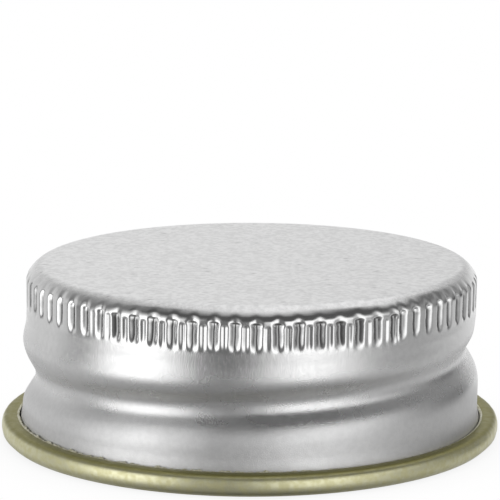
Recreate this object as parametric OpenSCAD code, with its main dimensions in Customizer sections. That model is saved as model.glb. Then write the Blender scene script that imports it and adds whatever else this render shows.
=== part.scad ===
// Screw cap for a 33 mm continuous-thread bottle neck.
// The shell is one drawn sheet: a flat panel, a knurled band, a rolled thread groove and
// an outward curl at the foot. A foam liner disc sits against the underside of the panel.
// The origin is the middle of the foot, +Z points up through the panel, the front is -Y.

/* [Shell] */
// Height over all, from the underside of the curl to the top of the panel
cap_h = 12.75; // [12:0.05:15]
// Thickness of the sheet
sheet_t = 0.25; // [0.15:0.01:0.28]
// Outside radius of the plain skirt under the thread
skirt_r = 16.67; // [14:0.01:24]
// Outside radius of the bend between the panel and the side
corner_r = 1.13; // [0.8:0.01:1.4]

/* [Knurled band] */
// How far the knurled band stands in from the plain skirt
knurl_inset = 0.24; // [0.1:0.01:0.4]
// Number of flutes pressed into the band
flute_count = 75; // [48:1:76]
// Width of a flute where it meets the band
flute_w = 0.78; // [0.5:0.01:0.85]
// Depth of a flute
flute_depth = 0.27; // [0.15:0.01:0.36]
// Length of a flute, over its round ends
flute_len = 2.25; // [1.5:0.05:2.4]
// Distance from the top of the panel down to the flutes
flute_top = 0.79; // [0.7:0.01:1]
// Turn of the first flute from the front
flute_turn = -1; // [-3:0.1:3]

/* [Drawn-in ring] */
// Distance from the top of the panel down to the ring under the flutes
ring_top = 3.25; // [3.1:0.05:3.5]
// How far the ring is drawn in from the knurled band
ring_inset = 0.15; // [0.05:0.01:0.22]
// Height of the S-shaped slope between the ring and the band
slope_h = 0.45; // [0.45:0.01:0.6]
// Plain height of the ring
ring_h = 0.65; // [0.3:0.05:1]
// Height over which the side widens from the ring to the skirt
flare_h = 1.8; // [1:0.05:2.5]

/* [Thread] */
// Rise of the groove in one turn, 6 threads to the inch
thread_pitch = 4.233; // [3.2:0.001:4.6]
// Depth of the groove below the plain skirt
thread_depth = 1.2; // [0.8:0.01:1.3]
// Height of the bottom of the groove at the front of the cap
thread_mid_z = 5.72; // [5.4:0.01:6]
// Outside radius of the bottom of the groove
groove_r = 0.85; // [0.4:0.01:1]
// Reach of the shoulder under the groove, at the front
low_reach = 3.2; // [2:0.05:4]
// What the shoulder under the groove loses in a quarter turn
low_reach_loss = 1.3; // [0:0.05:1.4]
// Reach of the shoulder over the groove, at the front
high_reach = 2.5; // [1.8:0.05:3]
// What the shoulder over the groove gains in a quarter turn
high_reach_gain = 0.4; // [0:0.05:0.6]
// Shortest reach of either shoulder
least_reach = 1.5; // [1.3:0.05:1.7]
// Angle over which the groove fades out at each of its ends
run_out = 25; // [15:1:60]

/* [Curl] */
// Outside radius of the curl's round section
curl_r = 0.89; // [0.7:0.01:0.95]
// Gap between the raw edge of the curl and the skirt
curl_gap = 0.08; // [0.04:0.01:0.2]

/* [Liner] */
// Thickness of the liner disc
liner_t = 1; // [0.5:0.05:1.2]
// Clearance between the liner and the backs of the flutes
liner_clear = 0.18; // [0.1:0.01:0.4]
// Bevel on the liner's upper edge, which clears the bend inside the shell
liner_bevel = 0.42; // [0.4:0.01:0.45]

/* [Hidden] */
$fn = 96;
full_turn = 360;
half_turn = 180;
quarter_turn = 90;

// the thread band: its columns round the cap, its rows under and over the groove, and
// how strongly the rows crowd towards the groove
columns = 90;
rows = 8;
crowding = 1.6;
// angle from the front at which the rows start to swing back across the rear
swing_at = 168;
// the band laps into the turned rings at its ends, a little inside their sheet
lap = 0.06;
seam_step = 0.012;
// plain heights above the curl and under the slope, where the band is joined on
foot_plain = 0.12;
ring_plain = 0.1;
// half the height over which the wall's slope is taken
slope_dz = 0.01;
// smallest depth that the groove's formula works with
tiny = 0.001;
// sides of the pins' circles
pin_fn = 32;
// straight steps in each arc of the slope
slope_steps = 3;

knurl_r = skirt_r - knurl_inset;
ring_r = knurl_r - ring_inset;
root_r = skirt_r - thread_depth;
slope_low_z = cap_h - ring_top;
slope_high_z = slope_low_z + slope_h;
// the slope is two equal arcs, and this is the radius on which they meet with one tangent
slope_arc_r = (slope_h*slope_h + ring_inset*ring_inset)/(4*ring_inset);
band_low_z = 2*curl_r + foot_plain;
band_high_z = slope_low_z - ring_plain;
flare_high_z = slope_low_z - ring_h;
flare_low_z = flare_high_z - flare_h;
// a flute is pressed by a round-ended pin, whose radius follows from its width and depth
pin_r = (flute_w*flute_w/4 + flute_depth*flute_depth)/(2*flute_depth);
pin_at = knurl_r + pin_r - flute_depth;
pin_top_z = cap_h - flute_top - flute_w/2;
pin_low_z = cap_h - flute_top - flute_len + flute_w/2;
curl_x = skirt_r - sheet_t + curl_r;
curl_end = acos((curl_gap + sheet_t - curl_r)/curl_r);
liner_r = pin_at - pin_r - sheet_t - liner_clear;
liner_top_z = cap_h - sheet_t;

// Smooth step from 0 to 1
function smooth(t) = let (c = min(max(t, 0), 1)) c*c*(3 - 2*c);

// Outside radius of the wall at height z, before the groove is rolled in
function wall_r(z) =
    skirt_r - (skirt_r - ring_r)*smooth((z - flare_low_z)/(flare_high_z - flare_low_z));

// Height of the groove's bottom at an angle from the front
function groove_z(angle) = thread_mid_z + thread_pitch*angle/full_turn;

// Depth of the groove at a distance x from its bottom: a round bottom of radius r runs
// into a round shoulder, which meets the wall smoothly at the distance reach
function groove_dip(x, reach, depth, r) =
    let (bend = 2*atan(depth/reach))
    let (both_r = reach/sin(bend))
    let (low_r = min(r, both_r/2))
    let (shoulder_r = both_r - low_r)
    x >= reach ? 0
    : x < low_r*sin(bend) ? depth - low_r + sqrt(low_r*low_r - x*x)
    : shoulder_r - sqrt(shoulder_r*shoulder_r - (reach - x)*(reach - x));

// Share of the groove's depth at an angle from the front
function groove_share(angle) = smooth((swing_at - abs(angle))/run_out);

// Reach of the groove's shoulder on the side of height z
function groove_reach(angle, z) =
    let (mid = groove_z(angle))
    let (quarters = angle/quarter_turn)
    z < mid
    ? min(max(low_reach - low_reach_loss*quarters, least_reach), mid - band_low_z)
    : min(max(high_reach + high_reach_gain*quarters, least_reach), band_high_z - mid);

// Outside radius of the thread band
function band_r(angle, z) =
    let (wall = wall_r(z))
    let (depth = max(wall - root_r, tiny))
    wall - groove_share(angle)
        *groove_dip(abs(z - groove_z(angle)), groove_reach(angle, z), depth, groove_r);

// Height that the rows crowd to: the groove's bottom, swung back across the rear
function guide_z(angle) =
    abs(angle) <= swing_at ? groove_z(angle)
    : let (past = angle > 0 ? angle - swing_at : angle + full_turn - swing_at)
      let (share = past/(full_turn - 2*swing_at))
      groove_z(swing_at)*(1 - share) + groove_z(-swing_at)*share;

// Heights of the rows of one column, from the foot to the top
function row_heights(angle) =
    let (mid = guide_z(angle))
    [
        for (k = [-rows:rows])
            let (share = pow(abs(k)/rows, crowding))
            k < 0 ? mid - (mid - band_low_z)*share : mid + (band_high_z - mid)*share
    ];

// One point of a column's section: on the outside at inset 0, on the inside at sheet_t
function section_point(angle, z, inset) =
    let (slope = (band_r(angle, z + slope_dz) - band_r(angle, z - slope_dz))/(2*slope_dz))
    let (tilt = atan(slope))
    [band_r(angle, z) - inset*cos(tilt), z + inset*sin(tilt)];

// Closed section of one column, up the outside and down the inside, with lapped ends
function column_section(angle) =
    let (heights = row_heights(angle))
    let (last = 2*rows)
    [
        [skirt_r - seam_step, band_low_z - lap],
        [skirt_r - seam_step, band_low_z],
        for (k = [1:last - 1]) section_point(angle, heights[k], 0),
        [ring_r - seam_step, band_high_z],
        [ring_r - seam_step, band_high_z + lap],
        [ring_r - sheet_t + seam_step, band_high_z + lap],
        [ring_r - sheet_t + seam_step, band_high_z],
        for (k = [last - 1:-1:1]) section_point(angle, heights[k], sheet_t),
        [skirt_r - sheet_t + seam_step, band_low_z],
        [skirt_r - sheet_t + seam_step, band_low_z - lap]
    ];

// The rolled band: sections joined round the cap. Angles run from the front towards +X.
module thread_band() {
    size = 2*(2*rows + 3);
    points = [
        for (i = [0:columns - 1])
            let (angle = i*full_turn/columns - half_turn)
            for (p = column_section(angle))
                [p[0]*sin(angle), -p[0]*cos(angle), p[1]]
    ];
    faces = [
        for (i = [0:columns - 1], k = [0:size - 1])
            let (here = i*size, next = (i + 1)%columns*size, up = (k + 1)%size)
            each [[here + k, here + up, next + k], [next + k, here + up, next + up]]
    ];
    polyhedron(points, faces);
}

// Points up the slope, set in by inset: an arc out of the ring, then one into the band
function slope_points(inset) =
    let (meet = asin(slope_h/2/slope_arc_r))
    [
        for (k = [0:slope_steps])
            let (a = meet*k/slope_steps, r = slope_arc_r + inset)
            [ring_r + slope_arc_r - r*cos(a), slope_low_z + r*sin(a)],
        for (k = [slope_steps - 1:-1:0])
            let (a = meet*k/slope_steps, r = slope_arc_r - inset)
            [knurl_r - slope_arc_r + r*cos(a), slope_high_z - r*sin(a)]
    ];

// Filled half section of the head, set in from the outside by inset
module head_outline(inset) {
    side_r = knurl_r - inset;
    top_z = cap_h - inset;
    low_z = band_high_z - inset;
    bend_r = corner_r - inset;
    polygon([
        [0, low_z],
        [ring_r - inset, low_z],
        each slope_points(inset),
        [side_r, top_z - bend_r],
        [side_r - bend_r, top_z],
        [0, top_z]
    ]);
    translate([side_r - bend_r, top_z - bend_r]) circle(bend_r);
}

// Right half of a disc
module half_disc(r) {
    intersection() {
        circle(r, $fn = pin_fn);
        translate([0, -r]) square([r, 2*r]);
    }
}

// Round-ended pins set round the band, which press the flutes
module pins(r) {
    for (k = [0:flute_count - 1])
        rotate(flute_turn + k*full_turn/flute_count)
            translate([0, -pin_at, 0])
                rotate_extrude($fn = pin_fn) {
                    translate([0, pin_low_z]) square([r, pin_top_z - pin_low_z]);
                    translate([0, pin_low_z]) half_disc(r);
                    translate([0, pin_top_z]) half_disc(r);
                }
}

// Filled form of the head, set in from the outside by inset, with flutes of radius r
module pressed_form(inset, r) {
    difference() {
        rotate_extrude() head_outline(inset);
        pins(r);
    }
}

// Panel, bend, knurled band and ring: the sheet between the outer form and the inner one,
// in which each flute's back stands out
module head() {
    difference() {
        pressed_form(0, pin_r);
        pressed_form(sheet_t, pin_r + sheet_t);
    }
}

// Plain skirt and the curl that it runs into, which ends in the sheet's raw edge
module foot() {
    far = 2*curl_r;
    rotate_extrude() {
        translate([skirt_r - sheet_t, curl_r]) square([sheet_t, band_low_z - curl_r]);
        translate([curl_x, curl_r]) difference() {
            circle(curl_r);
            circle(curl_r - sheet_t);
            polygon([[0, 0], [far*cos(curl_end), far*sin(curl_end)], [-far, far], [-far, 0]]);
        }
    }
}

module shell() {
    color("silver") {
        head();
        thread_band();
        foot();
    }
}

module liner() {
    color("white")
        rotate_extrude()
            polygon([
                [0, liner_top_z - liner_t],
                [liner_r, liner_top_z - liner_t],
                [liner_r, liner_top_z - liner_bevel],
                [liner_r - liner_bevel, liner_top_z],
                [0, liner_top_z]
            ]);
}

shell();
liner();
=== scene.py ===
import math

import bpy
import numpy as np
from mathutils import Matrix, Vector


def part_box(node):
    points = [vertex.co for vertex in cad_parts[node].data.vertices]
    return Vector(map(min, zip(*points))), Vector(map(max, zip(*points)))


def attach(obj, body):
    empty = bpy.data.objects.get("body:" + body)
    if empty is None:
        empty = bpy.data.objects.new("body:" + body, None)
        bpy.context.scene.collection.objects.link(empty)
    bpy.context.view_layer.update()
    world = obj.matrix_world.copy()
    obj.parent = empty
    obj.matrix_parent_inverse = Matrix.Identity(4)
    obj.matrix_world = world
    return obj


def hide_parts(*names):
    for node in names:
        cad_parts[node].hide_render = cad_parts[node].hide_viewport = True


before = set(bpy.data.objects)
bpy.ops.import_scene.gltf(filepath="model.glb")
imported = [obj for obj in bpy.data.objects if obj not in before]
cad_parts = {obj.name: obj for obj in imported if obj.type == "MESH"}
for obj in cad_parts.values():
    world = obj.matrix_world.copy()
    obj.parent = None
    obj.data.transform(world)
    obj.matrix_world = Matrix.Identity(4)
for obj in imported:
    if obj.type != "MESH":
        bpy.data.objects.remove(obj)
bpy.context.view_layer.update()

# Dressed bottle cap: one drawn sheet with its knurled band, rolled groove and gold curl,
# and the sealing disc inside. Lengths are in millimetres until a mesh is made, and
# angles run round the cap from the front (-Y) towards +X.

mm = 0.001
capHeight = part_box("shell")[1][2]/mm

cap = {
    "sheet": 0.25,            # thickness of the metal
    "skirtRadius": 16.67,     # outside of the plain skirt
    "bandInset": 0.24,        # knurled band, in from the skirt
    "ringInset": 0.03,        # drawn-in ring, in from the band
    "bendRadius": 1.20,       # between the panel and the side
    "bendPower": 1.60,        # under 2, so the bend is flatter in its middle
    "ringDrop": 3.25,         # from the panel down to the ring
    "slopeFoot": 0.05,        # from the ring's upper edge up to the slope
    "slopeHeight": 0.50,      # of the slope between the ring and the band
    "ringHeight": 0.65,
    "flareHeight": 1.8,       # from the skirt up to the ring
    "curlRadius": 0.78,
    "curlPower": 2.3,         # over 2, so the curl is a little square,
    "curlTopPower": 2.85,     # and squarer on its upper side
    "curlEnd": 129.0,         # angle of the raw edge, from the outside up over the top
    "footFlare": 0.22,        # the wall swings out as it runs into the curl
    "footTop": 2.4,           # height at which that starts
    "lean": 0.147,            # how far the top stands over to +X
}

bandRadius = cap["skirtRadius"] - cap["bandInset"]
ringRadius = bandRadius - cap["ringInset"]
bendZ = capHeight - cap["bendRadius"]
ringZ = capHeight - cap["ringDrop"]
slopeZ = ringZ + cap["slopeFoot"]
flareHighZ = ringZ - cap["ringHeight"]
flareLowZ = flareHighZ - cap["flareHeight"]
footZ = cap["footTop"]
curlX = cap["skirtRadius"] - cap["sheet"] + cap["footFlare"] + cap["curlRadius"]
curlEnd = cap["curlEnd"]


# An S-shaped step: three t squared less two t cubed, with t held between 0 and 1
def smoothStep(t):
    t = np.clip(t, 0.0, 1.0)
    return t*t*(3.0 - 2.0*t)


# An angle brought into the turn from -180 to 180
def wrapped(angle):
    return (angle + 180.0) % 360.0 - 180.0


# Depth of a pressed dip at a distance x from its middle: a round bottom, a straight wall at the
# steepest angle and a round shoulder, each with one tangent where they meet and at the reach.
# The wall is steeper by a margin than the line across both, and at most twice as steep
def roundDip(x, reach, depth, bottomRadius, steepest, margin=0.15):
    line = np.arctan2(depth, reach)
    wall = np.minimum(np.maximum(np.radians(steepest), line + margin), 2.0*line)
    both = (reach - depth/np.tan(wall))/np.tan(wall/2.0)
    low = np.minimum(bottomRadius, both/2.0)
    shoulder = both - low
    bottom = depth - low + np.sqrt(np.maximum(low**2 - np.minimum(x, low)**2, 0.0))
    straight = depth - low*(1.0 - np.cos(wall)) - (x - low*np.sin(wall))*np.tan(wall)
    side = shoulder - np.sqrt(np.maximum(shoulder**2 - np.maximum(reach - x, 0.0)**2, 0.0))
    outer = np.where(x < reach - shoulder*np.sin(wall), straight, side)
    return np.where(x >= reach, 0.0, np.where(x < low*np.sin(wall), bottom, outer))


# The smaller of two values, with the crease between them rounded over a width: their mix, less
# a parabola where they are within the width of each other
def softMin(a, b, width):
    share = np.clip(0.5 + 0.5*(b - a)/width, 0.0, 1.0)
    return b + (a - b)*share - width*share*(1.0 - share)


# Smooth wander round the cap: the mean of a few sine waves with seeded phases and heights, all
# between -1 and 1
def wander(angle, waves, seed):
    rng = np.random.default_rng(seed)
    total = np.zeros_like(angle)
    for wave in waves:
        total = total + np.sin(np.radians(angle)*wave + rng.uniform(0, 2*np.pi))*rng.uniform(0.5, 1.0)
    return total/len(waves)


# Outside radius of the side at height z before it is pressed: the skirt's, less a smooth step in
# to the ring, plus one out to the band, less a superellipse at the bend, plus a smooth step out
# to the curl
def plainRadius(z):
    flare = smoothStep((z - flareLowZ)/(flareHighZ - flareLowZ))
    slope = smoothStep((z - slopeZ)/cap["slopeHeight"])
    over = np.clip(z - bendZ, 0.0, cap["bendRadius"])
    share = (over/cap["bendRadius"])**cap["bendPower"]
    bend = cap["bendRadius"]*(1.0 - (1.0 - share)**(1/cap["bendPower"]))
    foot = cap["footFlare"]*(1 - smoothStep((z - cap["curlRadius"])/(footZ - cap["curlRadius"])))
    skirt = cap["skirtRadius"] - (cap["skirtRadius"] - ringRadius)*flare
    return skirt + cap["ringInset"]*slope - bend + foot


groove = {
    "pitch": 4.233,
    "depth": 0.88,
    "sideDepth": 0.06,        # more at the sides
    "frontHeight": 5.68,
    "bottomRadius": 1.2,
    "lowSteepest": 32.0,      # of the wall under the bottom, in degrees, and of the one over it
    "highSteepest": 29.0,
    "lowReach": 2.6,          # of the shoulder under the bottom, and of the one over it
    "highReach": 2.9,
    "ringGap": 0.1,           # what stays plain under the ring
    "fadeFrom": 168.0,        # it has died out at this angle from the front,
    "fadeOver": 25.0,         # over this stretch
}


# Depth of the rolled groove: a round dip about a line that climbs by the pitch in a turn, times
# a share that dies out at both ends
def grooveDepth(angle, z):
    mid = groove["frontHeight"] + groove["pitch"]*angle/360.0
    reach = np.where(z < mid, np.minimum(groove["lowReach"], mid - footZ),
                     np.minimum(groove["highReach"], ringZ - groove["ringGap"] - mid))
    press = groove["depth"] + groove["sideDepth"]*np.sin(np.radians(angle))**2
    depth = np.maximum(plainRadius(z) - cap["skirtRadius"] + press, 0.001)
    share = smoothStep((groove["fadeFrom"] - np.abs(angle))/groove["fadeOver"])
    steepest = np.where(z < mid, groove["lowSteepest"], groove["highSteepest"])
    return share*roundDip(np.abs(z - mid), reach, depth, groove["bottomRadius"], steepest)*(z < ringZ)


# Outside radius with the groove rolled in: the plain one less the groove's depth
def wallRadius(angle, z):
    return plainRadius(z) - grooveDepth(angle, z)


flute = {
    "depth": 0.255,
    "trough": 0.03,           # half the width of the flat bottom
    "wall": 0.48,             # width of the wall on each side of it
    "footRound": 0.18, "crestRound": 0.28,    # shares of each wall taken by its two roundings
    "waver": 0.03,            # sideways wander of the walls, the product of two waves,
    "waverSteps": (5.5, 2.1),      # whose phases grow by this much in a millimetre
    "waverPhase": 2.3,        # and the second one's starting phase, over the first one's
    "second": 0.13, "secondReach": 0.31,      # shallow flutes of a second pass, between the others,
    "secondFrom": -48.0, "secondTo": 47.0, "secondFade": 14.0,    # over this stretch of the front
    "secondDrop": 0.30, "secondRun": 0.25,    # under the flutes' upper ends, where they begin
    "lidHeight": 11.66,       # upper end, at the front
    "lidTilt": 0.20,          # the rolled band stands a little tilted
    "lidRise": 0.70,          # and higher at the sides and back
    "lidRun": 0.26,           # height over which the upper end drops in
    "tipHeight": 9.34,        # lower end, where the flutes fade out, at the front
    "tipRun": 1.10,
    "tipTilt": 0.14,          # as at the upper end
    "brow": 0.09, "browFoot": 0.3, "browRun": 0.70,     # the faint dip over the upper end,
    "browFrom": 0.15, "browFade": 0.40,       # which grows with the cosine of the angle to the front
    "topPower": 2.6,          # how square the upper end is
    "blend": 0.05,            # rounding where a flute meets the bend and the slope,
    "backBlend": 0.08,        # the same on the inside,
    "crease": 0.03,           # and where two flutes meet
    "middle": 10.8,           # height about which a flute leans
    "columns": 16,            # of the mesh, for each flute
    "runFrom": 36.6, "runStep": 5.062, "runCount": 41,     # the even run, back from its last flute
    "seamFrom": 39.3, "seamCount": 34,        # the first flute past the seam, and those from it on
    "seamLift": 0.24,         # past the seam the flutes stand higher,
    "seamTo": 150.0, "seamFade": 60.0,        # up to this angle,
    "seamWidth": 0.92,        # and are narrower
    "seed": 7,
    # how much single flutes differ: sideways, in lean, in width, in depth, at their two ends,
    # and in the depth of the second pass
    "shiftSpread": 0.018, "leanSpread": 0.012, "widthSpread": 0.03, "depthSpread": 0.07,
    "endSpread": 0.03, "secondSpread": 0.15,
}


# Angles of the flutes round the cap: a run with even steps, and one past the seam whose
# closer steps end where the first run starts
def fluteAngles():
    run = flute["runFrom"] - flute["runStep"]*np.arange(flute["runCount"])[::-1]
    seam = np.linspace(flute["seamFrom"], run[0] + 360.0, flute["seamCount"], endpoint=False)
    return np.concatenate([run, seam])


# Angles of all mesh columns: each step from flute to flute is split evenly
def columnAngles(centres):
    part = np.arange(flute["columns"])/flute["columns"]
    after = np.append(centres[1:], centres[0] + 360.0)
    return (centres[:, None] + (after - centres)[:, None]*part).ravel()


# A fall from 1 to 0 as t runs from 0 to 1: straight, with a share at each end rounded over
def ramp(t):
    t = np.clip(t, 0.0, 1.0)
    first, last = flute["footRound"], flute["crestRound"]
    start = t*t/(2.0*first)
    middle = t - first/2.0
    end = 1.0 - (first + last)/2.0 - (1.0 - t)**2/(2.0*last)
    fallen = np.where(t < first, start, np.where(t < 1.0 - last, middle, end))
    return 1.0 - fallen/(1.0 - (first + last)/2.0)


# Each flute's own numbers: how far it stands aside and leans, the width of its walls, its depth,
# the phase of its wander, the heights of its two ends and the depth of the mark beside it
def drawFlutes(centres):
    rng = np.random.default_rng(flute["seed"])
    count = len(centres)
    pastSeam = np.arange(count) >= flute["runCount"]
    lift = pastSeam*smoothStep((flute["seamTo"] - centres)/flute["seamFade"])*flute["seamLift"]
    level = np.sin(np.radians(centres))
    rise = flute["lidRise"]*np.minimum(1 - np.cos(np.radians(centres)), 1.0)**2
    own = {}
    own["shift"] = rng.normal(0, flute["shiftSpread"], count)
    own["lean"] = rng.normal(0, flute["leanSpread"], count)
    width = 1 + rng.normal(0, flute["widthSpread"], count)
    own["wall"] = flute["wall"]*(width*np.where(pastSeam, flute["seamWidth"], 1.0))
    own["depth"] = flute["depth"]*(1 + rng.normal(0, flute["depthSpread"], count))
    own["phase"] = rng.uniform(0, 2*np.pi, count)
    lid = flute["lidHeight"] - flute["lidTilt"]*level + rng.normal(0, flute["endSpread"], count)
    own["lid"] = lid + lift + rise
    tip = flute["tipHeight"] - flute["tipTilt"]*level + rng.normal(0, flute["endSpread"], count)
    own["tip"] = tip + lift
    own["second"] = flute["second"]*(1 + rng.normal(0, flute["secondSpread"], count))
    return own


# Share of the second pass at the mesh columns: a ramp down from each crest halfway between two
# flutes, times a smooth window across the front
def secondShare(angles, count):
    turn = wrapped(angles)
    here = (smoothStep((turn - flute["secondFrom"])/flute["secondFade"]) *
            smoothStep((flute["secondTo"] - turn)/flute["secondFade"]))
    part = np.arange(flute["columns"])/flute["columns"]
    fromCrest = np.tile(np.abs(part - 0.5), count)*2*np.pi*bandRadius/count
    return here*ramp(fromCrest/flute["secondReach"])


# How far the nearer flutes press the band in, at the mesh columns and heights z: a ramp down
# each wall, closed by a square upper end and fading out at the lower end
def flutePress(angles, centres, z):
    count = len(centres)
    mine = np.repeat(np.arange(count), flute["columns"])
    drawn = drawFlutes(centres)
    front = smoothStep((np.cos(np.radians(angles)) - flute["browFrom"])/flute["browFade"])
    total = np.zeros((len(angles), len(z)))
    brow = np.zeros_like(total)
    for step in (0, 1, -1):
        k = (mine + step) % count
        own = {name: values[k][:, None] for name, values in drawn.items()}
        fast, slow = flute["waverSteps"]
        waver = np.sin(own["phase"] + fast*z)*np.sin(flute["waverPhase"]*own["phase"] + slow*z)
        aside = own["shift"] + own["lean"]*(z - flute["middle"]) + flute["waver"]*waver
        across = np.radians(wrapped(angles - centres[k]))[:, None]*bandRadius - aside
        across = np.maximum(np.abs(across) - flute["trough"], 0.0)/own["wall"]
        over = np.maximum(z - (own["lid"] - flute["lidRun"]/2), 0.0)/flute["lidRun"]
        reach = (across**flute["topPower"] + over**flute["topPower"])**(1/flute["topPower"])
        fade = smoothStep((z - own["tip"])/flute["tipRun"])
        total = -softMin(-total, -own["depth"]*ramp(reach)*fade, flute["crease"])
        above = z - own["lid"]
        window = smoothStep(above/flute["browFoot"] + 1.0)*(1 - smoothStep(above/flute["browRun"]))
        brow = np.maximum(brow, flute["brow"]*front[:, None]*ramp(across)*window)
        if step == 0:
            under = 1 - smoothStep((above + flute["secondDrop"])/flute["secondRun"])
            total = total + own["second"]*secondShare(angles, count)[:, None]*under*fade
    return total.T, brow.T


# Closed mesh from grids of rings. Each grid is (rings, columns, 3), a pole closes each end,
# and where the next grid has more or fewer columns a row of triangles joins the two
def stitchMesh(name, grids, startPole, endPole, materials):
    counts = [g.shape[0]*g.shape[1] for g in grids]
    firsts = 1 + np.concatenate([[0], np.cumsum(counts)])
    verts = np.concatenate([startPole[None]] + [g.reshape(-1, 3) for g in grids] + [endPole[None]])
    quads, tris, quadMats, triMats = [], [], [], []

    def addTriangles(tri, mat):
        tris.append(tri)
        triMats.append(np.full(len(tri), mat))

    for index, grid in enumerate(grids):
        rings, columns = grid.shape[:2]
        ids = firsts[index] + np.arange(rings*columns).reshape(rings, columns)
        right = np.roll(ids, -1, axis=1)
        quad = np.stack([ids[:-1], ids[1:], right[1:], right[:-1]], axis=-1).reshape(-1, 4)
        quads.append(quad)
        quadMats.append(np.full(len(quad), materials[index]))
        if index == 0:
            addTriangles(np.stack([np.zeros(columns, int), ids[0], right[0]], -1), materials[0])
        else:
            join(previous, ids[0], materials[index - 1], quads, quadMats, addTriangles)
        previous = ids[-1]
    last = len(verts) - 1
    fan = np.stack([previous, np.full(len(previous), last), np.roll(previous, -1)], -1)
    addTriangles(fan, materials[-1])
    return buildMesh(name, verts, np.concatenate(quads), np.concatenate(tris),
                     np.concatenate(quadMats + triMats))


# Faces between two rings: quads when they match, and otherwise a fan of the finer ring's
# edges to the coarser ring's points
def join(upper, lower, mat, quads, quadMats, addTriangles):
    if len(upper) == len(lower):
        quads.append(np.stack([upper, lower, np.roll(lower, -1), np.roll(upper, -1)], -1))
        quadMats.append(np.full(len(upper), mat))
        return
    fine, coarse = (upper, lower) if len(upper) > len(lower) else (lower, upper)
    ratio = len(fine)//len(coarse)
    number = np.arange(len(fine))
    apex = np.where(number % ratio < ratio//2, number//ratio, (number//ratio + 1) % len(coarse))
    middle = fine[np.arange(len(coarse))*ratio + ratio//2]
    fan = np.stack([fine, coarse[apex], np.roll(fine, -1)], -1)
    base = np.stack([middle, coarse, np.roll(coarse, -1)], -1)
    if len(upper) < len(lower):
        fan, base = fan[:, ::-1], base[:, ::-1]
    addTriangles(np.concatenate([fan, base]), mat)


# A smooth object from points in millimetres, its quads, its triangles and their materials
def buildMesh(name, verts, quads, tris, faceMats):
    mesh = bpy.data.meshes.new(name)
    mesh.vertices.add(len(verts))
    mesh.vertices.foreach_set("co", (verts*mm).astype(np.float32).ravel())
    loops = np.concatenate([quads.ravel(), tris.ravel()]).astype(np.int32)
    sizes = np.concatenate([np.full(len(quads), 4), np.full(len(tris), 3)])
    starts = np.concatenate([[0], np.cumsum(sizes)[:-1]]).astype(np.int32)
    mesh.loops.add(len(loops))
    mesh.loops.foreach_set("vertex_index", loops)
    mesh.polygons.add(len(starts))
    mesh.polygons.foreach_set("loop_start", starts)
    mesh.polygons.foreach_set("use_smooth", np.ones(len(starts), bool))
    mesh.polygons.foreach_set("material_index", faceMats.astype(np.int32))
    mesh.update(calc_edges=True)
    mesh.validate()
    piece = bpy.data.objects.new(name, mesh)
    bpy.context.scene.collection.objects.link(piece)
    return piece


# Rings of points: the radius times the sine and minus the cosine of the angle, at height z. The
# whole cap leans over by a share of its height
def place(radius, z, angles):
    turn = np.radians(angles)
    x = radius*np.sin(turn) + cap["lean"]*z/capHeight
    return np.stack(np.broadcast_arrays(x, -radius*np.cos(turn), z), -1)


# Evenly spaced heights from a first one to a last one
def heightsBetween(start, end, count):
    return start + (end - start)*(np.arange(count)/(count - 1.0))


# Section of the curl: a point at an angle about its centre, counted from the outside through the
# top. It is made of two halves of superellipses, the upper one squarer
def curlPoint(turn, radius):
    turn = np.radians(turn)
    x, z = np.cos(turn), np.sin(turn)
    power = np.where(z > 0, cap["curlTopPower"], cap["curlPower"])
    radius = radius*(np.abs(x)**power + np.abs(z)**power)**(-1/power)
    return curlX + radius*x, cap["curlRadius"] + radius*z


# Rows of the shell's mesh: radii, turns and heights, or a first height, a last one and a count
rows = {
    "panel": (0.4, 2.0, 5.0, 8.0, 11.0, 13.5), "panelEdge": 0.15,
    "bend": (90, 80, 70, 60, 51, 42),
    "lids": (12.15, 11.25, 15), "middles": (11.1, 10.75, 10.45), "tips": (10.2, 9.4, 12),
    "skirtTop": 9.25, "skirtCount": 51, "footStep": 0.12, "footCount": 8,
    "backFoot": (0.95, 1.7, 5), "backSkirt": (1.95, 9.2, 24),
    "backTipsFrom": 9.42, "backTips": (9.55, 10.25, 7), "backMiddle": 10.8,
    "backLids": (11.35, 11.95, 5), "backTops": (12.1, 12.25), "backGap": 0.1,
    "backBend": (60, 70, 80, 90),
    "panelUnder": (14.0, 10.0, 5.0, 1.0),
}


# Radius of the pressed band: the smaller of its plain radius and the crests' radius less the
# press, which stands clear where nothing presses, with the brow taken off
def pressedRadius(plain, crest, press, brow, blend):
    cut = crest - press + np.where(press <= 0, 1.0, 0.0)
    return softMin(plain, cut, blend) - brow


# The bend, the knurled band and the slope: the plain radius with the flutes pressed in
def bandOutside(angles, centres):
    bend = bendZ + cap["bendRadius"]*np.sin(np.radians(rows["bend"]))
    lids, tips = heightsBetween(*rows["lids"]), heightsBetween(*rows["tips"])
    z = np.concatenate([bend, lids, rows["middles"], tips])
    press, brow = flutePress(angles, centres, z)
    return pressedRadius(plainRadius(z)[:, None], bandRadius, press, brow, flute["blend"]), z[:, None]


# The ring, the flare, the groove and the skirt: the wall's radius down to the curl's middle
def skirtOutside(angles):
    skirt = heightsBetween(rows["skirtTop"], footZ, rows["skirtCount"])
    foot = heightsBetween(footZ - rows["footStep"], cap["curlRadius"], rows["footCount"])
    z = np.concatenate([skirt, foot])[:, None]
    return wallRadius(wrapped(angles), z), z


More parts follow.
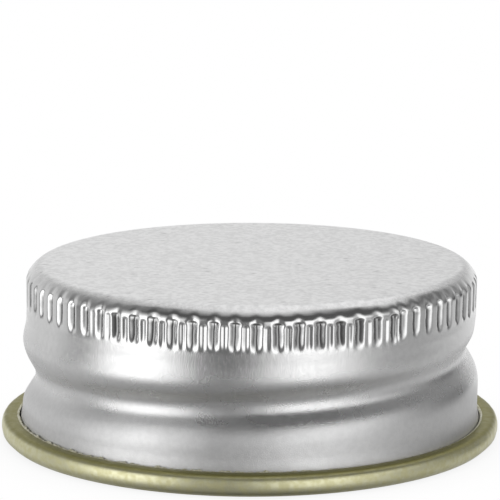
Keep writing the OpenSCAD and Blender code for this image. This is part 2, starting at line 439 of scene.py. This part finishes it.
edge = {
    "ragged": 1.5, "raggedWaves": (9, 17, 31),          # wander of the raw edge, in degrees
    "torn": 1.0, "tornWaves": (57, 83, 121),
    "burr": 0.21, "burrWaves": (43, 71, 113, 167, 211),    # how far its torn places stand up
    "burrShare": 0.45,        # over 0, so more than half of it has burrs
    "burrAt": -50.0, "burrReach": 85.0, "burrFade": 35.0,  # the stretch that has them
    "burrTurn": 9.0, "burrOutside": 0.9,      # they die out over this turn on the outside
    # the section across the sheet's end: turn back, distance in from the inner face (or the outer
    # one), and share of the burr
    "innerRows": ((-1.5, 0.0, 0.0), (-0.3, 0.02, 0.3), (0.0, 0.06, 0.6)),
    "outerRows": ((0.0, 0.07, 1.0), (-0.5, 0.015, 1.0)),
}
curl = {
    # rows of its outside, back from the raw edge
    "turns": (0, 2.5, 6, 12, 21, 36, 50, 60, 68, 76, 84, 92, 101, 113, 130, 156, 190, 228, 268),
    "edgeRows": 3,            # the first of them that still show the cut
    "startTurn": 2.0,         # back from the raw edge
    "wrinkle": 0.012, "wrinkleWaves": (47, 61, 89),
    "wrinkleSpan": (20.0, 90.0, 60.0),        # turns: grown by, fading from, and over
    "wobble": 0.010, "wobbleWaves": (3, 5, 8),
    "restFrom": 150.0, "restOver": 60.0,      # towards the skirt both die out
    "innerRows": 11, "innerEnd": 8.0,         # of the curl's inside, up to this turn from its edge
}


# The raw edge round the cap: the turn at which the sheet ends, which is the curl's end plus a
# slow wander and a fast one, and the height of the burrs, the part of a wander that is over 0
def rawEdge(angles):
    ragged = edge["ragged"]*wander(angles, edge["raggedWaves"], 3)
    torn = edge["torn"]*wander(angles, edge["tornWaves"], 4)
    burrStretchAndFluteShade = smoothStep((edge["burrReach"] - np.abs(wrapped(angles) - edge["burrAt"]))/edge["burrFade"])
    burr = burrStretchAndFluteShade*np.maximum(edge["burrShare"] + wander(angles, edge["burrWaves"], 5), 0.0)
    return 360.0 + curlEnd + (ragged + torn), edge["burr"]*burr


# The section across the sheet's end, from its inner face to its outer one: points of the curl a
# little back from the edge, raised by their share of the burr
def cutSection(edgeTurn, burr):
    inner = cap["curlRadius"] - cap["sheet"]
    section = [(back, inner + deep, raised) for back, deep, raised in edge["innerRows"]]
    section += [(back, cap["curlRadius"] - deep, raised) for back, deep, raised in edge["outerRows"]]
    back, radius, raised = np.array(section).T[:, :, None]
    r, z = curlPoint(edgeTurn + back, radius)
    return r, z + burr*raised


# The outside of the curl, from the raw edge back to the skirt's inside wall: its section, with
# the radius wrinkled round the cap near the edge
def curlOutside(angles, edgeTurn, burr):
    turns = np.array([*curl["turns"], curlEnd + 180.0])[:, None]
    turn = np.maximum(edgeTurn - curl["startTurn"] - turns, 180.0)
    grown, fadeFrom, fadeOver = curl["wrinkleSpan"]
    window = smoothStep(turns/grown)*(1 - smoothStep((turns - fadeFrom)/fadeOver))
    wrinkle = curl["wrinkle"]*wander(angles, curl["wrinkleWaves"], 11)*window
    wobble = curl["wobble"]*wander(angles, curl["wobbleWaves"], 12)
    rest = 1 - smoothStep((turns - curl["restFrom"])/curl["restOver"])
    r, z = curlPoint(turn, cap["curlRadius"] + (wrinkle + wobble)*rest)
    return r, z + burr*(1 - smoothStep(turns/edge["burrTurn"]))*edge["burrOutside"]


# The inside of the skirt and of the rolled groove, at the sheet's thickness square to the wall
def skirtInside(angles, step=0.01):
    z = np.concatenate([heightsBetween(*rows["backFoot"]), heightsBetween(*rows["backSkirt"])])[:, None]
    angles = wrapped(angles)
    tilt = np.arctan((wallRadius(angles, z + step) - wallRadius(angles, z - step))/(2*step))
    return wallRadius(angles, z) - cap["sheet"]*np.cos(tilt), z + cap["sheet"]*np.sin(tilt)


# The backs of the flutes, on every second column, and the start of the bend's inside: a quarter
# round at the sheet's thickness, with the same flutes pressed in
def bandInside(angles, centres):
    z = np.concatenate([[rows["backTipsFrom"]], heightsBetween(*rows["backTips"]), [rows["backMiddle"]],
                        heightsBetween(*rows["backLids"]), rows["backTops"]])
    z = np.minimum(z, capHeight - cap["sheet"] - rows["backGap"])
    inner = cap["bendRadius"] - cap["sheet"]
    bend = inner - np.sqrt(inner**2 - np.clip(z - bendZ, 0.0, inner)**2)
    slope = smoothStep((z - slopeZ)/cap["slopeHeight"])
    plain = bandRadius - cap["ringInset"]*(1 - slope) - cap["sheet"] - bend
    press, brow = (part[:, ::2] for part in flutePress(angles, centres, z))
    crest = bandRadius - cap["sheet"]
    return pressedRadius(plain[:, None], crest, press, brow, flute["backBlend"]), z[:, None]


# The shell's grids in order: panel, side, inside of the curl, raw edge, outside of the curl,
# and the inside back up to the panel
def makeShell():
    centres = fluteAngles()
    fine = columnAngles(centres)
    half, quarter, coarse = fine[::2], fine[::4], fine[::12]
    bright, gold, bare = 0, 1, 2
    sheet = cap["sheet"]
    grids, mats = [], []

    def addGrid(radius, z, angles, mat):
        grids.append(place(radius, z, angles))
        mats.append(mat)

    panel = np.array([*rows["panel"], bandRadius - cap["bendRadius"] - rows["panelEdge"]])
    addGrid(panel[:, None], capHeight, coarse, bright)
    addGrid(*bandOutside(fine, centres), fine, bright)
    addGrid(*skirtOutside(quarter), quarter, bright)

    # the curl, whose inside is the sheet's bright face and whose outside is the gold one
    turns = np.linspace(180.0, 360.0 + curlEnd - curl["innerEnd"], curl["innerRows"])[1:, None]
    addGrid(*curlPoint(turns, cap["curlRadius"] - sheet), quarter, bright)
    edgeTurn, burr = rawEdge(half)
    addGrid(*cutSection(edgeTurn, burr), half, bare)
    radius, z = curlOutside(half, edgeTurn, burr)
    cut = curl["edgeRows"]
    addGrid(radius[:cut], z[:cut], half, bare)
    addGrid(radius[cut:], z[cut:], half, gold)

    addGrid(*skirtInside(quarter), quarter, gold)
    addGrid(*bandInside(fine, centres), half, gold)
    turns = np.radians(rows["backBend"])[:, None]
    inner = cap["bendRadius"] - sheet
    bend = bandRadius - cap["bendRadius"] + inner*np.cos(turns)
    addGrid(bend, bendZ + inner*np.sin(turns), quarter, gold)
    addGrid(np.array(rows["panelUnder"])[:, None], capHeight - sheet, coarse, gold)

    top = np.array([cap["lean"], 0, capHeight])
    bottom = np.array([cap["lean"], 0, capHeight - sheet])
    piece = stitchMesh("capShell", grids, top, bottom, mats)
    print("shell:", len(centres), "flutes,", triangleCount(piece), "triangles")
    return piece


# A face of n corners counts as n - 2 triangles
def triangleCount(piece):
    return sum(len(p.vertices) - 2 for p in piece.data.polygons)


liner = {
    "thickness": 1.0,
    "bevel": 0.42,
    "edgeRound": 0.12, "edgeRows": 6,
    "sideEnd": 1.5,           # the side's last ring stands this many roundings up
    "upperRings": (3.0, 9.0), "lowerRings": (12.0, 8.0, 3.0),    # radii inside its two faces
    "columns": 180,
}


# The sealing disc: a profile turned about the middle, flat with a bevelled upper edge and a
# softly rounded lower one
def makeLiner():
    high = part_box("liner")[1]
    radius, top = high[0]/mm, high[2]/mm
    low = top - liner["thickness"]
    soft = liner["edgeRound"]
    profile = [(r, top) for r in (*liner["upperRings"], radius - liner["bevel"])]
    profile += [(radius, top - liner["bevel"]), (radius, low + soft*liner["sideEnd"])]
    for turn in np.radians(np.linspace(0, 90, liner["edgeRows"])):
        profile.append((radius - soft + soft*math.cos(turn), low + soft - soft*math.sin(turn)))
    profile += [(r, low) for r in liner["lowerRings"]]
    r, z = np.array(profile).T[:, :, None]
    turn = np.radians(np.arange(liner["columns"])*360.0/liner["columns"])
    ring = np.stack(np.broadcast_arrays(r*np.sin(turn), -r*np.cos(turn), z), -1)
    piece = stitchMesh("sealingDisc", [ring], np.array([0, 0, top]), np.array([0, 0, low]), [0])
    print("liner:", triangleCount(piece), "triangles")
    return piece


# The emptied nodes of a material or a world, and their links
def clearNodes(owner):
    owner.use_nodes = True
    owner.node_tree.nodes.clear()
    return owner.node_tree.nodes, owner.node_tree.links


# A material with its shader joined to its output, and the object's own coordinates
def newMaterial(name):
    material = bpy.data.materials.new(name)
    nodes, links = clearNodes(material)
    output = nodes.new("ShaderNodeOutputMaterial")
    shader = nodes.new("ShaderNodeBsdfPrincipled")
    links.new(shader.outputs[0], output.inputs[0])
    coords = nodes.new("ShaderNodeTexCoord").outputs["Object"]
    return material, nodes, links, shader, coords


# An empty node group with named sockets: a Vector, then numbers; its results are numbers
def newGroup(name, numbers, results):
    group = bpy.data.node_groups.new(name, "ShaderNodeTree")
    group.interface.new_socket(name="Vector", in_out="INPUT", socket_type="NodeSocketVector")
    for label in numbers:
        group.interface.new_socket(name=label, in_out="INPUT", socket_type="NodeSocketFloat")
    for label in results:
        group.interface.new_socket(name=label, in_out="OUTPUT", socket_type="NodeSocketFloat")
    given = group.nodes.new("NodeGroupInput")
    result = group.nodes.new("NodeGroupOutput")
    return group, group.nodes, group.links, given, result


# Noise about 0.5, at a scale in cells to the metre
def addNoise(nodes, links, vector, scale, detail=2.0, roughness=0.5):
    noise = nodes.new("ShaderNodeTexNoise")
    noise.inputs["Detail"].default_value = detail
    noise.inputs["Roughness"].default_value = roughness
    links.new(vector, noise.inputs["Vector"])
    setSocket(links, noise.inputs["Scale"], scale)
    return noise.outputs["Fac"]


# A number is set on the socket, and a node's output is joined to it
def setSocket(links, socket, value):
    if isinstance(value, (int, float)):
        socket.default_value = value
    else:
        links.new(value, socket)


# A vector's x, y and z
def splitAxes(nodes, links, vector):
    split = nodes.new("ShaderNodeSeparateXYZ")
    links.new(vector, split.inputs[0])
    return split.outputs


# One operation on numbers or on other nodes' values
def addMath(nodes, links, operation, *values):
    node = nodes.new("ShaderNodeMath")
    node.operation = operation
    for socket, value in zip(node.inputs, values):
        setSocket(links, socket, value)
    return node.outputs[0]


# A value taken from one range to another, straight or by a smooth step
def addRange(nodes, links, value, fromMin, fromMax, toMin, toMax, smooth=False):
    node = nodes.new("ShaderNodeMapRange")
    if smooth:
        node.interpolation_type = "SMOOTHSTEP"
    for socket, number in zip(list(node.inputs)[:5], (value, fromMin, fromMax, toMin, toMax)):
        setSocket(links, socket, number)
    return node.outputs[0]


# A mask that grows from 0 to 1 between two heights in millimetres
def heightMask(nodes, links, z, start, end):
    return addRange(nodes, links, z, start*mm, end*mm, 0.0, 1.0, True)


# A colour that goes from a to b as the factor goes from 0 to 1
def addMix(nodes, links, factor, a, b):
    node = nodes.new("ShaderNodeMix")
    node.data_type = "RGBA"
    links.new(factor, node.inputs[0])
    for socket, value in ((node.inputs[6], a), (node.inputs[7], b)):
        if isinstance(value, tuple):
            socket.default_value = (*value, 1.0)
        else:
            links.new(value, socket)
    return node.outputs[2]


# One shader for the rays that a Light Path output names, and one for all others
def splitRays(nodes, links, ray, named, others):
    path = nodes.new("ShaderNodeLightPath")
    choose = nodes.new("ShaderNodeMixShader")
    links.new(path.outputs[ray], choose.inputs[0])
    links.new(others, choose.inputs[1])
    links.new(named, choose.inputs[2])
    return choose.outputs[0]


# Bump from the sum of some heights in metres
def addBump(nodes, links, shader, *heights):
    total = heights[0]
    for height in heights[1:]:
        total = addMath(nodes, links, "ADD", total, height)
    bump = nodes.new("ShaderNodeBump")
    bump.inputs["Strength"].default_value = 1.0
    bump.inputs["Distance"].default_value = 1.0
    links.new(total, bump.inputs["Height"])
    links.new(bump.outputs[0], shader.inputs["Normal"])


# Grain: noise of a given cells-per-metre scale, times a height in metres
def makeGrainGroup():
    group, nodes, links, given, result = newGroup("grain", ("Scale", "Height"), ("Height",))
    noise = addNoise(nodes, links, given.outputs["Vector"], given.outputs["Scale"])
    links.new(addMath(nodes, links, "MULTIPLY", noise, given.outputs["Height"]), result.inputs[0])
    return group


# Patches: slow noise, whose middle range becomes a soft mask from 0 to 1
def makePatchGroup(start=0.35, end=0.65):
    group, nodes, links, given, result = newGroup("patches", ("Scale",), ("Value",))
    vector, scale = given.outputs["Vector"], given.outputs["Scale"]
    noise = addNoise(nodes, links, vector, scale, detail=3.0, roughness=0.55)
    links.new(addRange(nodes, links, noise, start, end, 0.0, 1.0, True), result.inputs[0])
    return group


# Pits: one spot in some cells of a grid. Share is how many cells have one, Size its radius in
# cells and Depth how deep it is in metres. Mask is 1 inside, and Height is below 0 there
def makePitGroup():
    group, nodes, links, given, result = newGroup(
        "pits", ("Scale", "Share", "Size", "Depth"), ("Mask", "Height"))
    cells = nodes.new("ShaderNodeTexVoronoi")
    links.new(given.outputs["Vector"], cells.inputs["Vector"])
    links.new(given.outputs["Scale"], cells.inputs["Scale"])
    split = nodes.new("ShaderNodeSeparateColor")
    links.new(cells.outputs["Color"], split.inputs[0])
    chosen = addMath(nodes, links, "LESS_THAN", split.outputs[0], given.outputs["Share"])
    spot = addRange(nodes, links, cells.outputs["Distance"], 0.0, given.outputs["Size"], 1.0, 0.0, True)
    mask = addMath(nodes, links, "MULTIPLY", chosen, spot)
    links.new(mask, result.inputs["Mask"])
    deep = addMath(nodes, links, "MULTIPLY", mask, given.outputs["Depth"])
    links.new(addMath(nodes, links, "MULTIPLY", deep, -1.0), result.inputs["Height"])
    return group


grainGroup, patchGroup, pitGroup = makeGrainGroup(), makePatchGroup(), makePitGroup()


# A group's node in a material, with its numbers set from keyword arguments
def addGroup(nodes, links, group, vector, **numbers):
    node = nodes.new("ShaderNodeGroup")
    node.node_tree = group
    links.new(vector, node.inputs["Vector"])
    for label, value in numbers.items():
        setSocket(links, node.inputs[label.capitalize()], value)
    return node.outputs


# Coordinates with each axis times its own factor
def stretched(nodes, links, vector, scale):
    mapping = nodes.new("ShaderNodeMapping")
    mapping.inputs["Scale"].default_value = scale
    links.new(vector, mapping.inputs["Vector"])
    return mapping.outputs[0]


brightSheet = {
    "colour": (0.90, 0.90, 0.90),
    "dull": (0.86, 0.86, 0.86),
    "pale": (0.97, 0.97, 0.97), "grey": (0.81, 0.81, 0.81), "fleckScale": 2700.0,
    "pitColour": (0.45, 0.45, 0.45),
    "burrStretchAndFluteShade": (0.34, 0.34, 0.34), "fluteShadeDepth": (0.07, 0.20),      # painted shade in the flutes, by how deep they are
    "fluteShadeFoot": (9.3, 9.7), "fluteShadeTop": (11.4, 11.7),
    "footRough": 0.42, "skirtRough": 0.25, "ringRough": 0.13, "bandRough": 0.13, "panelRough": 0.30,
    "roughSpread": 0.05, "roughScale": 420.0,
    # heights over which one stretch of the side gives way to the next, measured from the ring, from
    # the panel, from the flare's two ends and from the foot
    "bandMask": (-0.1, 0.5), "panelMask": (-0.45, -0.02), "ringMask": (0.6, 0.2), "skirtMask": (3.6, 4.8),
    "peelScale": 14500.0, "peelHeight": 16e-6, "bandPeel": 0.08,
    "panelScale": 4200.0, "panelHeight": 16e-6,
    "pitScale": 1300.0, "pitShare": 0.45, "pitSize": 0.22, "pitDepth": 8e-6,
    "pitStretch": (0.45, 1.0, 1.0),           # under 1, so they are long in X
    "drawnScale": (6500.0, 6500.0, 4200.0), "drawnHeight": 2e-6,
}


# Mask of the painted shade in the flutes' insides: how far a point of the band is pressed in, from
# its distance to the leaning axis
def fluteShadeMask(nodes, links, x, y, z):
    b = brightSheet
    x = addMath(nodes, links, "MULTIPLY_ADD", z, -cap["lean"]/capHeight, x)
    square = addMath(nodes, links, "MULTIPLY_ADD", y, y, addMath(nodes, links, "MULTIPLY", x, x))
    pressed = addMath(nodes, links, "SUBTRACT", bandRadius*mm, addMath(nodes, links, "SQRT", square))
    deep = heightMask(nodes, links, pressed, *b["fluteShadeDepth"])
    over = heightMask(nodes, links, z, *b["fluteShadeFoot"])
    under = addMath(nodes, links, "SUBTRACT", 1.0, heightMask(nodes, links, z, *b["fluteShadeTop"]))
    return addMath(nodes, links, "MULTIPLY", addMath(nodes, links, "MULTIPLY", deep, over), under)


# Drawn aluminium: satin on the panel and the skirt, bright where the band was rolled, and with
# painted shade inside the flutes. The masks go by height: the band is between the ring and the bend
def makeBrightSheet():
    material, nodes, links, shader, coords = newMaterial("brightSheet")
    b = brightSheet
    x, y, z = splitAxes(nodes, links, coords)
    band = heightMask(nodes, links, z, ringZ + b["bandMask"][0], ringZ + b["bandMask"][1])
    panel = heightMask(nodes, links, z, capHeight + b["panelMask"][0], capHeight + b["panelMask"][1])
    ring = heightMask(nodes, links, z, flareLowZ + b["ringMask"][0], flareHighZ + b["ringMask"][1])
    start, end = b["skirtMask"]
    rough = addRange(nodes, links, z, start*mm, end*mm, b["footRough"], b["skirtRough"], True)
    rough = addMath(nodes, links, "MULTIPLY_ADD", ring, b["ringRough"] - b["skirtRough"], rough)
    rough = addMath(nodes, links, "MULTIPLY_ADD", band, b["bandRough"] - b["ringRough"], rough)
    rough = addMath(nodes, links, "MULTIPLY_ADD", panel, b["panelRough"] - b["bandRough"], rough)
    patch = addGroup(nodes, links, patchGroup, coords, scale=b["roughScale"])[0]
    rough = addMath(nodes, links, "MULTIPLY_ADD", patch, b["roughSpread"], rough)
    links.new(rough, shader.inputs["Roughness"])

    pits = addGroup(nodes, links, pitGroup, stretched(nodes, links, coords, b["pitStretch"]),
                    scale=b["pitScale"], share=b["pitShare"], size=b["pitSize"], depth=b["pitDepth"])
    onPanel = addMath(nodes, links, "MULTIPLY", pits["Mask"], panel)
    fleck = addGroup(nodes, links, patchGroup, coords, scale=b["fleckScale"])[0]
    side = addMix(nodes, links, fleck, b["colour"], b["dull"])
    # painted shade: the flutes' insides are darkened in colour by how deep they are pressed
    side = addMix(nodes, links, fluteShadeMask(nodes, links, x, y, z), side, b["burrStretchAndFluteShade"])
    flecked = addMix(nodes, links, fleck, b["pale"], b["grey"])
    colour = addMix(nodes, links, panel, side, flecked)
    colour = addMix(nodes, links, onPanel, colour, b["pitColour"])
    links.new(colour, shader.inputs["Base Color"])
    shader.inputs["Metallic"].default_value = 1.0

    peelShare = addMath(nodes, links, "MULTIPLY_ADD", band, b["bandPeel"] - 1.0, 1.0)
    peel = addGroup(nodes, links, grainGroup, coords, scale=b["peelScale"],
                    height=addMath(nodes, links, "MULTIPLY", peelShare, b["peelHeight"]))[0]
    rolled = addGroup(nodes, links, grainGroup, coords, scale=b["panelScale"],
                      height=addMath(nodes, links, "MULTIPLY", panel, b["panelHeight"]))[0]
    drawn = addGroup(nodes, links, grainGroup, stretched(nodes, links, coords, b["drawnScale"]),
                     scale=1.0, height=b["drawnHeight"])[0]
    pitted = addMath(nodes, links, "MULTIPLY", pits["Height"], panel)
    addBump(nodes, links, shader, peel, rolled, drawn, pitted)
    return material


goldLacquer = {
    "colour": (0.88, 0.86, 0.58),
    "deep": (0.82, 0.79, 0.47),
    "creaseShade": (0.30, 0.28, 0.10),              # painted shade, in the crease beside the skirt, over these heights
    "creaseShadeMask": (1.24, 1.53),               # over these heights
    "patchScale": 2400.0,
    "grainScale": 6000.0, "grainHeight": 8e-6,
    "smooth": 0.37, "rough": 0.47,
    "coat": 0.35, "thinCoat": 0.21, "coatRough": 0.22,
    # painted reflection: the colour the lacquer takes in the bright sheet's mirror, and how far it goes
    # there
    "paintedReflection": (0.34, 0.33, 0.31), "fade": 0.85,
}


# Gold lacquer over the same metal, a little uneven in depth and gloss, with painted shade in the crease
# beside the skirt and a painted reflection that is darker and greyer
def makeGoldLacquer():
    material, nodes, links, shader, coords = newMaterial("goldLacquer")
    g = goldLacquer
    patch = addGroup(nodes, links, patchGroup, coords, scale=g["patchScale"])[0]
    shader.inputs["Metallic"].default_value = 1.0
    shader.inputs["Coat Roughness"].default_value = g["coatRough"]
    # painted shade: the curl's upper side beside the skirt is darkened in colour and its coat taken away
    crease = heightMask(nodes, links, splitAxes(nodes, links, coords)[2], *g["creaseShadeMask"])
    colour = addMix(nodes, links, patch, g["colour"], g["deep"])
    colour = addMix(nodes, links, crease, colour, g["creaseShade"])
    # painted reflection: where the bright sheet mirrors the lacquer, its colour is made darker and greyer
    # than when seen directly
    mirrored = nodes.new("ShaderNodeLightPath").outputs["Is Glossy Ray"]
    fade = addRange(nodes, links, mirrored, 0.0, 1.0, 0.0, g["fade"])
    links.new(addMix(nodes, links, fade, colour, g["paintedReflection"]), shader.inputs["Base Color"])
    links.new(addRange(nodes, links, patch, 0.0, 1.0, g["smooth"], g["rough"]), shader.inputs["Roughness"])
    gloss = addRange(nodes, links, patch, 0.0, 1.0, g["coat"], g["thinCoat"])
    bare = addRange(nodes, links, crease, 0.0, 1.0, 1.0, 0.0)
    links.new(addMath(nodes, links, "MULTIPLY", gloss, bare), shader.inputs["Coat Weight"])
    grain = addGroup(nodes, links, grainGroup, coords, scale=g["grainScale"], height=g["grainHeight"])[0]
    addBump(nodes, links, shader, grain)
    return material


cutEdge = {
    "bare": (0.93, 0.91, 0.73), "torn": (0.66, 0.63, 0.42), "patchScale": 5000.0,
    "metallic": 0.3, "rough": (0.30, 0.50),
    "grainScale": 12000.0, "grainHeight": 8e-6,
}


# The trimmed edge of the sheet: pale, with torn, darker places
def makeCutEdge():
    material, nodes, links, shader, coords = newMaterial("cutEdge")
    c = cutEdge
    patch = addGroup(nodes, links, patchGroup, coords, scale=c["patchScale"])[0]
    shader.inputs["Metallic"].default_value = c["metallic"]
    links.new(addMix(nodes, links, patch, c["bare"], c["torn"]), shader.inputs["Base Color"])
    links.new(addRange(nodes, links, patch, 0.0, 1.0, *c["rough"]), shader.inputs["Roughness"])
    grain = addGroup(nodes, links, grainGroup, coords, scale=c["grainScale"], height=c["grainHeight"])[0]
    addBump(nodes, links, shader, grain)
    return material


linerFoam = {
    "colour": (0.88, 0.87, 0.83), "stained": (0.80, 0.79, 0.74), "patchScale": 300.0,
    "pore": (0.62, 0.61, 0.57),
    "poreScale": 3600.0, "poreShare": 0.6, "poreSize": 0.30, "poreDepth": 30e-6,
    "rough": (0.55, 0.75),
    "grainScale": 5200.0, "grainHeight": 12e-6,
}


# Foamed sheet with small open pores and faint patches
def makeFoam():
    material, nodes, links, shader, coords = newMaterial("linerFoam")
    f = linerFoam
    patch = addGroup(nodes, links, patchGroup, coords, scale=f["patchScale"])[0]
    pores = addGroup(nodes, links, pitGroup, coords, scale=f["poreScale"], share=f["poreShare"],
                     size=f["poreSize"], depth=f["poreDepth"])
    colour = addMix(nodes, links, patch, f["colour"], f["stained"])
    links.new(addMix(nodes, links, pores["Mask"], colour, f["pore"]), shader.inputs["Base Color"])
    links.new(addRange(nodes, links, patch, 0.0, 1.0, *f["rough"]), shader.inputs["Roughness"])
    grain = addGroup(nodes, links, grainGroup, coords, scale=f["grainScale"], height=f["grainHeight"])[0]
    addBump(nodes, links, shader, grain, pores["Height"])
    return material


# Light panels and shades round the cap, as seen from it: azimuth and half width, height and
# half height, softness of the border (all in degrees) and brightness. Later ones lie over
# earlier ones. The floor's light runs from straight down up to the horizon
studio = {
    "sky": 0.88, "horizon": (-22.0, -10.0),
    "floorFar": 0.05, "floorNear": 0.50, "floorSpan": (-88.0, -17.0),
    "mapSize": 512,
    "panels": [
        ("left ceiling shade", -66, 84, 27, 32, 42, 0.09),
        ("front ceiling shade", 2, 95, 46, 23, 14, 0.08),
        ("right flag", 114, 27, 17, 27, 11, 0.02),
        ("left wall", -116, 30, 3, 25, 14, 0.62),
        ("left gap", -90, 12, 25, 44, 8, 0.18),
        ("left box", -54, 26, 6, 27, 16, 1.45),
        ("camera gap", -15, 19, -8, 40, 11, 0.16),
        ("front fill", 27, 20, 14, 13, 8, 0.90),
        ("right box", 40, 26, 1, 23, 9, 1.20),
        ("right floor", 80, 30, -6, 18, 18, 0.33),
        ("right wall", 131, 43, 21, 11, 18, 0.32),
    ],
}


# 1 where a value lies within a half width of 0, with a smooth step at each border
def coverage(nodes, links, off, halfWidth, soft):
    off = addMath(nodes, links, "ABSOLUTE", off)
    return addRange(nodes, links, off, halfWidth - soft, halfWidth + soft, 1.0, 0.0, True)


# A light laid over another one by a share
def mixLight(nodes, links, share, below, above):
    mix = nodes.new("ShaderNodeMix")
    links.new(share, mix.inputs[0])
    setSocket(links, mix.inputs[2], below)
    setSocket(links, mix.inputs[3], above)
    return mix


# The world: floor and sky, with each panel laid over them by the share of it that covers a
# direction. The camera sees plain white
def makeStudio():
    world = bpy.data.worlds.new("studio")
    bpy.context.scene.world = world
    nodes, links = clearNodes(world)
    x, y, z = splitAxes(nodes, links, nodes.new("ShaderNodeTexCoord").outputs["Generated"])
    toDegrees = 180/math.pi
    azimuth = addMath(nodes, links, "ARCTAN2", x, addMath(nodes, links, "MULTIPLY", y, -1.0))
    azimuth = addMath(nodes, links, "MULTIPLY", azimuth, toDegrees)
    height = addMath(nodes, links, "MULTIPLY", addMath(nodes, links, "ARCSINE", z), toDegrees)
    floorLight = addRange(nodes, links, height, *studio["floorSpan"], studio["floorFar"],
                          studio["floorNear"], True)
    overHorizon = addRange(nodes, links, height, *studio["horizon"], 0.0, 1.0, True)
    light = mixLight(nodes, links, overHorizon, floorLight, studio["sky"]).outputs[0]
    for name, az, halfAz, up, halfUp, soft, strength in studio["panels"]:
        away = addMath(nodes, links, "ADD", azimuth, 180.0 - az)
        away = addMath(nodes, links, "FLOORED_MODULO", away, 360.0)
        away = addMath(nodes, links, "SUBTRACT", away, 180.0)
        across = coverage(nodes, links, away, halfAz, soft)
        upward = coverage(nodes, links, addMath(nodes, links, "SUBTRACT", height, up), halfUp, soft)
        share = addMath(nodes, links, "MULTIPLY", across, upward)
        mix = mixLight(nodes, links, share, light, strength)
        mix.label = name
        light = mix.outputs[0]
    lit = nodes.new("ShaderNodeBackground")
    white = nodes.new("ShaderNodeBackground")
    for background in (lit, white):
        background.inputs["Color"].default_value = (1, 1, 1, 1)
    links.new(light, lit.inputs["Strength"])
    seen = splitRays(nodes, links, "Is Camera Ray", white.outputs[0], lit.outputs[0])
    output = nodes.new("ShaderNodeOutputWorld")
    links.new(seen, output.inputs[0])
    world.cycles.sampling_method = "MANUAL"
    world.cycles.sample_map_resolution = studio["mapSize"]


floorPlan = {
    "radius": 160.0, "sides": 64,
    "shadeReach": 0.005,      # in metres
    "shade": 0.86,
    "colour": (0.8, 0.8, 0.8, 1),
}


# The floor: the camera sees it white with a faint shade round the foot, mirrors see through it,
# and to all other rays it is pale and matt
def makeFloor():
    mesh = bpy.data.meshes.new("floor")
    turn = np.linspace(0, 2*np.pi, floorPlan["sides"], endpoint=False)
    points = np.stack([np.cos(turn), np.sin(turn), 0*turn], -1)*floorPlan["radius"]*mm
    mesh.from_pydata(points.tolist(), [], [list(range(len(turn)))])
    floor = bpy.data.objects.new("floor", mesh)
    bpy.context.scene.collection.objects.link(floor)
    material = bpy.data.materials.new("paleFloor")
    nodes, links = clearNodes(material)
    shade = nodes.new("ShaderNodeAmbientOcclusion")
    shade.inputs["Distance"].default_value = floorPlan["shadeReach"]
    level = addRange(nodes, links, shade.outputs["AO"], 0.0, 1.0, floorPlan["shade"], 1.0)
    glow = nodes.new("ShaderNodeEmission")
    links.new(level, glow.inputs["Strength"])
    plain = nodes.new("ShaderNodeBsdfDiffuse")
    plain.inputs[0].default_value = floorPlan["colour"]
    clear = nodes.new("ShaderNodeBsdfTransparent")
    seen = splitRays(nodes, links, "Is Camera Ray", glow.outputs[0], plain.outputs[0])
    mirrored = splitRays(nodes, links, "Is Glossy Ray", clear.outputs[0], seen)
    output = nodes.new("ShaderNodeOutputMaterial")
    links.new(mirrored, output.inputs[0])
    mesh.materials.append(material)


camera = {
    "distance": 200.7,        # to the point it aims at
    "aimHeight": 13.555,
    "down": 11.03,            # how far it looks down
    "roll": 0.158,
    "lens": 198.3, "sensor": 36.0,
    "clip": (0.01, 10.0),     # in metres
}


# The camera stands in front, back from the point it aims at along its line of sight
def makeCamera():
    data = bpy.data.cameras.new("camera")
    data.lens = camera["lens"]
    data.sensor_width = camera["sensor"]
    data.sensor_fit = "HORIZONTAL"
    data.clip_start, data.clip_end = camera["clip"]
    eye = bpy.data.objects.new("camera", data)
    down = math.radians(camera["down"])
    away = camera["distance"]*mm
    eye.location = (0, -away*math.cos(down), away*math.sin(down) + camera["aimHeight"]*mm)
    eye.rotation_mode = "XYZ"
    tilt = Matrix.Rotation(math.pi/2 - down, 4, "X")
    roll = Matrix.Rotation(math.radians(camera["roll"]), 4, "Z")
    eye.matrix_world = Matrix.Translation(eye.location) @ tilt @ roll
    bpy.context.scene.collection.objects.link(eye)
    bpy.context.scene.camera = eye


shellPiece = makeShell()
for finish in (makeBrightSheet(), makeGoldLacquer(), makeCutEdge()):
    shellPiece.data.materials.append(finish)
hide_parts("shell")
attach(shellPiece, "root")

linerPiece = makeLiner()
linerPiece.data.materials.append(makeFoam())
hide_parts("liner")
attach(linerPiece, "root")
print("pieces made")

makeStudio()
makeFloor()
makeCamera()
bpy.context.scene.view_settings.view_transform = "Standard"
print("studio and camera set")
